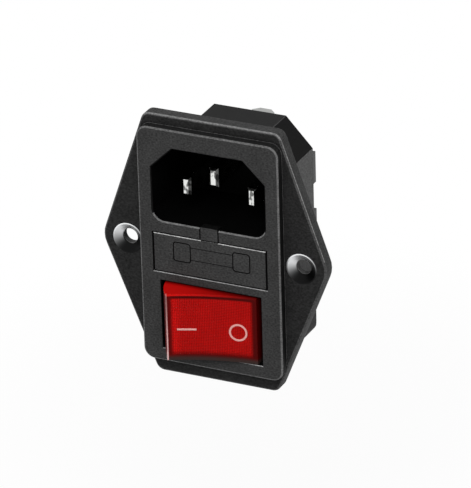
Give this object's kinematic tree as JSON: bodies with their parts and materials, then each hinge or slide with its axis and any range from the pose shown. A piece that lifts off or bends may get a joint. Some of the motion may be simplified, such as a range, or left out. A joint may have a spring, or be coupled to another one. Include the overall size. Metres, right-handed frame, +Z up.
{
  "type": "power entry module",
  "caption": "Panel-mount mains inlet with a recessed three-pin socket, a pull-out fuse drawer and a lit red rocker switch on a diamond flange.",
  "frame": {"origin": "midway between the two screw holes, on the back face of the flange that seats on the panel", "axes": "+X to the right and +Z up as seen from the front, +Y into the panel towards the terminals"},
  "size_m": [0.0476, 0.0322, 0.0554],
  "materials": {
    "black_plastic": "fine moulded grain",
    "dark_plastic": "smooth moulded",
    "eyelet_metal": "bright pressed metal",
    "nickel": "bright nickel plate",
    "spring_copper": "rolled copper alloy",
    "brass": "stamped brass",
    "silver_contact": "silver contact",
    "spring_steel": "drawn spring wire",
    "fine_wire": "tinned wire",
    "clear_glass": "clear tube",
    "lamp_glass": "clear lamp glass",
    "resistor_body": "lacquered body",
    "red_lens": "translucent red, glossy"
  },
  "bodies": {
    "housing_body": {"housing": "black_plastic", "rear_cover": "dark_plastic", "eyelet_left": "eyelet_metal", "eyelet_right": "eyelet_metal", "earth_pin": "nickel", "line_pin": "nickel", "neutral_pin": "nickel", "line_contact": "spring_copper", "fuse_contact": "spring_copper", "common_terminal_upper": "brass", "common_terminal_lower": "brass", "switched_terminal_upper": "brass", "switched_terminal_lower": "brass", "fixed_contact_upper": "silver_contact", "fixed_contact_lower": "silver_contact"},
    "drawer_body": {"fuse_drawer": "black_plastic", "fuse_glass": "clear_glass", "fuse_caps": "nickel", "fuse_wire": "fine_wire", "spare_fuse_glass": "clear_glass", "spare_fuse_caps": "nickel", "spare_fuse_wire": "fine_wire"},
    "rocker_body": {"rocker": "red_lens", "plunger_spring_upper": "spring_steel", "plunger_spring_lower": "spring_steel", "neon_lamp": "lamp_glass", "lamp_electrodes": "fine_wire", "lamp_resistor": "resistor_body", "lamp_leads": "fine_wire"},
    "upper_plunger_body": {"plunger_upper": "brass"},
    "lower_plunger_body": {"plunger_lower": "brass"},
    "upper_lever_body": {"contact_lever_upper": "spring_copper", "lever_contact_upper": "silver_contact"},
    "lower_lever_body": {"contact_lever_lower": "spring_copper", "lever_contact_lower": "silver_contact"}
  },
  "joints": [
    {"name": "rocker_rock", "type": "hinge", "parent": "housing_body", "child": "rocker_body", "pos_m": [0, -0.00313, -0.01415], "axis": [0, 0, -1], "range_deg": [0, 32]},
    {"name": "upper_lever_rock", "type": "hinge", "parent": "housing_body", "child": "upper_lever_body", "pos_m": [0, 0.00502, -0.01055], "axis": [0, 0, 1], "range_deg": [0, 15]},
    {"name": "lower_lever_rock", "type": "hinge", "parent": "housing_body", "child": "lower_lever_body", "pos_m": [0, 0.00502, -0.01775], "axis": [0, 0, 1], "range_deg": [0, 15]},
    {"name": "upper_plunger_press", "type": "slide", "parent": "rocker_body", "child": "upper_plunger_body", "axis": [0.2756, -0.9613, 0], "range_m": [0, 0.0005], "stiffness_N_per_m": 60, "springref_m": -0.0005},
    {"name": "lower_plunger_press", "type": "slide", "parent": "rocker_body", "child": "lower_plunger_body", "axis": [0.2756, -0.9613, 0], "range_m": [0, 0.0005], "stiffness_N_per_m": 60, "springref_m": -0.0005},
    {"name": "drawer_pull", "type": "slide", "parent": "housing_body", "child": "drawer_body", "axis": [0, -1, 0], "range_m": [0, 0.012]}
  ],
  "couplings": [
    {"joint": "upper_lever_rock", "follows": "rocker_rock", "ratio": 0.46875},
    {"joint": "lower_lever_rock", "follows": "rocker_rock", "ratio": 0.46875}
  ]
}
